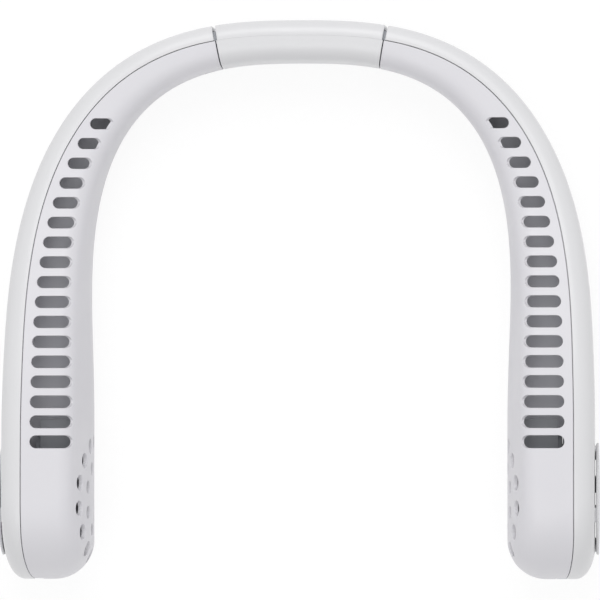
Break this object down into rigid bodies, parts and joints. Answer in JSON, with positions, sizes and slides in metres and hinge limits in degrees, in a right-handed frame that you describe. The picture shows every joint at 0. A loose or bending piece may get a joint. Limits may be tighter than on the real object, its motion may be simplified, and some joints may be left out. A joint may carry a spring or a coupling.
{
  "type": "neck fan",
  "caption": "Bladeless neck fan: an arched collar whose slotted arms hinge on a slim rear bridge and end in blower pods.",
  "frame": {"origin": "middle of the back, under the centre of the bounding box, where the fan lies on a table", "axes": "+X across the neck towards the arm with the power button, +Y from the pods to the bridge, +Z to the front seen in the picture"},
  "size_m": [0.2006, 0.187, 0.0536],
  "materials": {
    "shell_white": "satin",
    "tub_white": "satin",
    "divider_grey": "matte",
    "battery_blue": "satin",
    "housing_grey": "matte",
    "base_grey": "matte",
    "copper": "satin",
    "bronze": "satin",
    "steel": "satin",
    "plug_grey": "matte",
    "bracket_grey": "matte",
    "wire_black": "satin",
    "board_green": "satin",
    "socket_steel": "satin",
    "switch_black": "matte",
    "pipe_clear": "gloss",
    "impeller_grey": "matte",
    "magnet_grey": "matte",
    "sleeve_grey": "matte",
    "button_grey": "satin"
  },
  "bodies": {
    "bridge": {"bridge_outer_shell": "shell_white", "bridge_inner_shell": "tub_white", "bridge_sleeve": "sleeve_grey", "bridge_frame": "bracket_grey", "bridge_screws": "steel", "bridge_wire": "wire_black", "left_hinge_pin": "steel", "right_hinge_pin": "steel"},
    "left_arm": {"left_inner_shell": "tub_white", "left_outer_shell": "shell_white", "left_duct_divider": "divider_grey", "left_battery": "battery_blue", "left_fan_housing": "housing_grey", "left_motor_base": "base_grey", "left_stator": "copper", "left_bearing": "bronze", "left_intake_disc": "shell_white", "left_case_screws": "steel", "left_screw_plug": "plug_grey", "left_hinge_bracket": "bracket_grey", "left_wire": "wire_black", "left_charge_board": "board_green", "left_usb_port": "socket_steel"},
    "right_arm": {"right_inner_shell": "tub_white", "right_outer_shell": "shell_white", "right_duct_divider": "divider_grey", "right_battery": "battery_blue", "right_fan_housing": "housing_grey", "right_motor_base": "base_grey", "right_stator": "copper", "right_bearing": "bronze", "right_intake_disc": "shell_white", "right_case_screws": "steel", "right_screw_plug": "plug_grey", "right_hinge_bracket": "bracket_grey", "right_wire": "wire_black", "right_control_board": "board_green", "right_button_switch": "switch_black", "right_led_pipes": "pipe_clear"},
    "left_rotor": {"left_impeller": "impeller_grey", "left_shaft": "steel", "left_magnet_ring": "magnet_grey"},
    "right_rotor": {"right_impeller": "impeller_grey", "right_shaft": "steel", "right_magnet_ring": "magnet_grey"},
    "power_button": {"power_button": "button_grey", "switch_plunger": "button_grey"}
  },
  "joints": [
    {"name": "left_arm_hinge", "type": "hinge", "parent": "bridge", "child": "left_arm", "pos_m": [-0.02813, 0.08664, 0.01435], "axis": [0, 0, -1], "range_deg": [-1.5, 7.5]},
    {"name": "right_arm_hinge", "type": "hinge", "parent": "bridge", "child": "right_arm", "pos_m": [0.02813, 0.08664, 0.01435], "axis": [0, 0, 1], "range_deg": [-1.5, 7.5]},
    {"name": "left_rotor_spin", "type": "hinge", "parent": "left_arm", "child": "left_rotor", "pos_m": [-0.081, -0.06675, 0.0268], "axis": [-1, 0, 0], "continuous": true},
    {"name": "right_rotor_spin", "type": "hinge", "parent": "right_arm", "child": "right_rotor", "pos_m": [0.081, -0.06675, 0.0268], "axis": [1, 0, 0], "continuous": true},
    {"name": "power_button_press", "type": "slide", "parent": "right_arm", "child": "power_button", "axis": [0, 1, 0], "range_m": [0, 0.0006], "stiffness_N_per_m": 1500}
  ]
}
